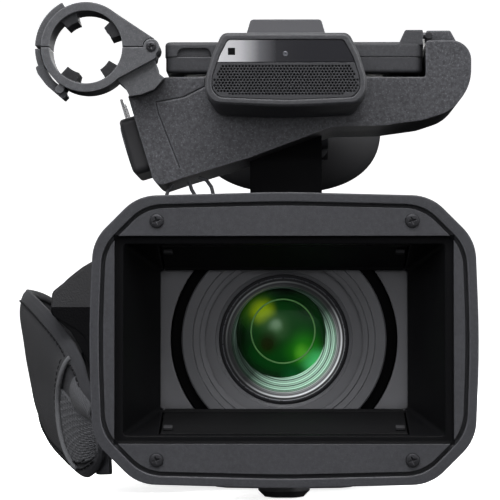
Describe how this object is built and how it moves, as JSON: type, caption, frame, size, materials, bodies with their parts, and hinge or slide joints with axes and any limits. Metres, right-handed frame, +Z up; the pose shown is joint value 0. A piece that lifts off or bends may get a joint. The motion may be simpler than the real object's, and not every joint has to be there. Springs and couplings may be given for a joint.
{
  "type": "camcorder",
  "caption": "Handheld professional camcorder with rectangular lens hood and shutter flaps, fold-out panel, top handle, microphone clamp, viewfinder and padded hand strap.",
  "frame": {"origin": "centre of the tripod thread in the base plate's underside", "axes": "+Z up, lens looks along -Y, +X is the side with the controls (the operator's left)"},
  "size_m": [0.1937, 0.37, 0.2032],
  "materials": {
    "hood_plastic": "matte",
    "hood_plate_plastic": "satin",
    "screw_steel": "blackened",
    "flap_plastic": "matte",
    "knob_plastic": "satin",
    "lens_ring_metal": "black anodised",
    "retainer_metal": "anodised",
    "lens_glass": "coated",
    "inner_metal": "flocked black",
    "ring_rubber": "ribbed",
    "casing_plastic": "fine texture",
    "base_metal": "painted black",
    "circuit_board": "solder mask",
    "rocker_plastic": "satin",
    "record_red": "satin",
    "grip_plastic": "rubberised",
    "strap_fabric": "woven nylon",
    "bracket_plastic": "satin",
    "jack_plastic": "satin",
    "tab_metal": "bright",
    "speckled_plastic": "fine speckle",
    "hinge_metal": "blackened",
    "lid_plastic": "fine speckle",
    "bezel_plastic": "satin",
    "screen_panel": "gloss",
    "mic_plastic": "satin",
    "grille_metal": "perforated",
    "gloss_panel": "gloss",
    "shoe_metal": "black",
    "clamp_plastic": "satin",
    "eyecup_rubber": "matte",
    "battery_plastic": "matte",
    "panel_plastic": "satin"
  },
  "bodies": {
    "main_body": {"hood_shell": "hood_plastic", "hood_front_plate": "hood_plate_plastic", "hood_screws": "screw_steel", "lens_front_ring": "lens_ring_metal", "hood_mount_ring": "lens_ring_metal", "lens_barrel": "lens_ring_metal", "lens_retainer_ring": "retainer_metal", "front_element": "lens_glass", "inner_elements": "lens_glass", "inner_lens_cell": "inner_metal", "iris_diaphragm": "inner_metal", "body_casing_left": "casing_plastic", "body_casing_right": "casing_plastic", "top_cover": "casing_plastic", "handle_frame": "casing_plastic", "base_plate": "base_metal", "main_chassis": "base_metal", "sensor_board": "circuit_board", "grip_shell": "grip_plastic", "hand_strap": "strap_fabric", "strap_brackets": "bracket_plastic", "xlr_block": "jack_plastic", "handle_front_housing": "speckled_plastic", "mic_housing": "mic_plastic", "mic_grille": "grille_metal", "mic_face_panel": "gloss_panel", "accessory_shoe": "shoe_metal", "mic_clamp_lower": "clamp_plastic", "control_panel": "panel_plastic"},
    "shutter_upper": {"shutter_flap_upper": "flap_plastic"},
    "shutter_lower": {"shutter_flap_lower": "flap_plastic"},
    "shutter_lever_body": {"shutter_lever": "knob_plastic"},
    "clamp_knob": {"hood_clamp_knob": "knob_plastic"},
    "focus": {"focus_ring": "ring_rubber"},
    "zoom": {"zoom_ring": "ring_rubber"},
    "iris": {"iris_ring": "ring_rubber"},
    "grip_rocker": {"grip_zoom_rocker": "rocker_plastic"},
    "power": {"power_dial": "knob_plastic"},
    "record": {"record_button": "record_red"},
    "xlr_tab_front": {"xlr_release_tab_front": "tab_metal"},
    "xlr_tab_rear": {"xlr_release_tab_rear": "tab_metal"},
    "lcd_arm": {"lcd_hinge_arm": "hinge_metal"},
    "lcd_panel": {"lcd_lid": "lid_plastic", "lcd_bezel": "bezel_plastic", "lcd_screen": "screen_panel"},
    "handle_rocker": {"handle_zoom_rocker": "rocker_plastic"},
    "handle_record": {"handle_record_button": "rocker_plastic"},
    "viewfinder": {"viewfinder_body": "casing_plastic", "viewfinder_lens": "lens_glass", "eyecup": "eyecup_rubber"},
    "mic_clamp_top": {"mic_clamp_upper": "clamp_plastic"},
    "mic_latch": {"mic_clamp_latch": "clamp_plastic"},
    "battery_pack": {"battery": "battery_plastic"},
    "door": {"card_door": "casing_plastic"},
    "dial": {"menu_dial": "knob_plastic"},
    "nd_switch": {"nd_filter_switch": "knob_plastic"},
    "knob_front": {"audio_knob_front": "knob_plastic"},
    "knob_rear": {"audio_knob_rear": "knob_plastic"},
    "button_1": {"assign_button_1": "rocker_plastic"},
    "button_2": {"assign_button_2": "rocker_plastic"}
  },
  "joints": [
    {"name": "shutter_upper_hinge", "type": "hinge", "parent": "main_body", "child": "shutter_upper", "pos_m": [0, -0.1372, 0.0922], "axis": [1, 0, 0], "range_deg": [0, 58]},
    {"name": "shutter_lower_hinge", "type": "hinge", "parent": "main_body", "child": "shutter_lower", "pos_m": [0, -0.1372, 0.0358], "axis": [-1, 0, 0], "range_deg": [0, 58]},
    {"name": "shutter_lever_slide", "type": "slide", "parent": "main_body", "child": "shutter_lever_body", "axis": [0, 0, 1], "range_m": [0, 0.0121]},
    {"name": "hood_knob_turn", "type": "hinge", "parent": "main_body", "child": "clamp_knob", "pos_m": [-0.0566, -0.124, 0.064], "axis": [-1, 0, 0], "continuous": true},
    {"name": "focus_turn", "type": "hinge", "parent": "main_body", "child": "focus", "pos_m": [0, -0.1, 0.064], "axis": [0, -1, 0], "continuous": true},
    {"name": "zoom_turn", "type": "hinge", "parent": "main_body", "child": "zoom", "pos_m": [0, -0.075, 0.064], "axis": [0, -1, 0], "range_deg": [-45, 45]},
    {"name": "iris_turn", "type": "hinge", "parent": "main_body", "child": "iris", "pos_m": [0, -0.056, 0.064], "axis": [0, -1, 0], "continuous": true},
    {"name": "grip_zoom_press", "type": "hinge", "parent": "main_body", "child": "grip_rocker", "pos_m": [-0.08335, -0.012, 0.08449], "axis": [0.7835, 0, 0.6214], "range_deg": [-6, 6], "stiffness_Nm_per_rad": 0.4},
    {"name": "power_turn", "type": "hinge", "parent": "main_body", "child": "power", "pos_m": [-0.066, 0.074, 0.076], "axis": [0, 1, 0], "range_deg": [-15, 20]},
    {"name": "record_press", "type": "slide", "parent": "main_body", "child": "record", "axis": [0, -1, 0], "range_m": [0, 0.0015], "stiffness_N_per_m": 400},
    {"name": "xlr_tab_front_press", "type": "slide", "parent": "main_body", "child": "xlr_tab_front", "axis": [0.9583, 0, 0.2857], "range_m": [0, 0.0012], "stiffness_N_per_m": 300},
    {"name": "xlr_tab_rear_press", "type": "slide", "parent": "main_body", "child": "xlr_tab_rear", "axis": [0.9583, 0, 0.2857], "range_m": [0, 0.0012], "stiffness_N_per_m": 300},
    {"name": "lcd_open", "type": "hinge", "parent": "main_body", "child": "lcd_arm", "pos_m": [0.0588, -0.08, 0.1874], "axis": [0, 1, 0], "range_deg": [0, 90]},
    {"name": "lcd_tilt", "type": "hinge", "parent": "lcd_arm", "child": "lcd_panel", "pos_m": [0.0502, -0.085, 0.1874], "axis": [1, 0, 0], "range_deg": [0, 90]},
    {"name": "handle_zoom_press", "type": "hinge", "parent": "main_body", "child": "handle_rocker", "pos_m": [0.0007, -0.005, 0.171], "axis": [1, 0, 0], "range_deg": [-5, 5], "stiffness_Nm_per_rad": 0.3},
    {"name": "handle_record_press", "type": "slide", "parent": "main_body", "child": "handle_record", "axis": [0, 0, -1], "range_m": [0, 0.0009], "stiffness_N_per_m": 400},
    {"name": "viewfinder_tilt", "type": "hinge", "parent": "main_body", "child": "viewfinder", "pos_m": [0.001, 0.098, 0.163], "axis": [1, 0, 0], "range_deg": [0, 65]},
    {"name": "mic_clamp_open", "type": "hinge", "parent": "main_body", "child": "mic_clamp_top", "pos_m": [-0.053, -0.095, 0.1808], "axis": [0, 1, 0], "range_deg": [0, 65]},
    {"name": "mic_latch_open", "type": "hinge", "parent": "main_body", "child": "mic_latch", "pos_m": [-0.08975, -0.095, 0.16392], "axis": [0, -1, 0], "range_deg": [0, 18]},
    {"name": "battery_slide", "type": "slide", "parent": "main_body", "child": "battery_pack", "axis": [0, 1, 0], "range_m": [0, 0.05]},
    {"name": "card_door_open", "type": "hinge", "parent": "main_body", "child": "door", "pos_m": [0.0502, 0.115, 0.065], "axis": [0, 0, 1], "range_deg": [0, 95]},
    {"name": "menu_dial_turn", "type": "hinge", "parent": "main_body", "child": "dial", "pos_m": [0.05, 0.058, 0.056], "axis": [1, 0, 0], "continuous": true},
    {"name": "nd_switch_slide", "type": "slide", "parent": "main_body", "child": "nd_switch", "axis": [0, 0, 1], "range_m": [-0.006, 0.006]},
    {"name": "audio_front_turn", "type": "hinge", "parent": "main_body", "child": "knob_front", "pos_m": [0.05, 0.05, 0.086], "axis": [1, 0, 0], "range_deg": [-140, 140]},
    {"name": "audio_rear_turn", "type": "hinge", "parent": "main_body", "child": "knob_rear", "pos_m": [0.05, 0.065, 0.086], "axis": [1, 0, 0], "range_deg": [-140, 140]},
    {"name": "assign_1_press", "type": "slide", "parent": "main_body", "child": "button_1", "axis": [-1, 0, 0], "range_m": [0, 0.0009], "stiffness_N_per_m": 300},
    {"name": "assign_2_press", "type": "slide", "parent": "main_body", "child": "button_2", "axis": [-1, 0, 0], "range_m": [0, 0.0009], "stiffness_N_per_m": 300}
  ],
  "couplings": [
    {"joint": "shutter_lower_hinge", "follows": "shutter_upper_hinge", "ratio": 1},
    {"joint": "shutter_lever_slide", "follows": "shutter_upper_hinge", "m_per_rad": 0.011854}
  ]
}
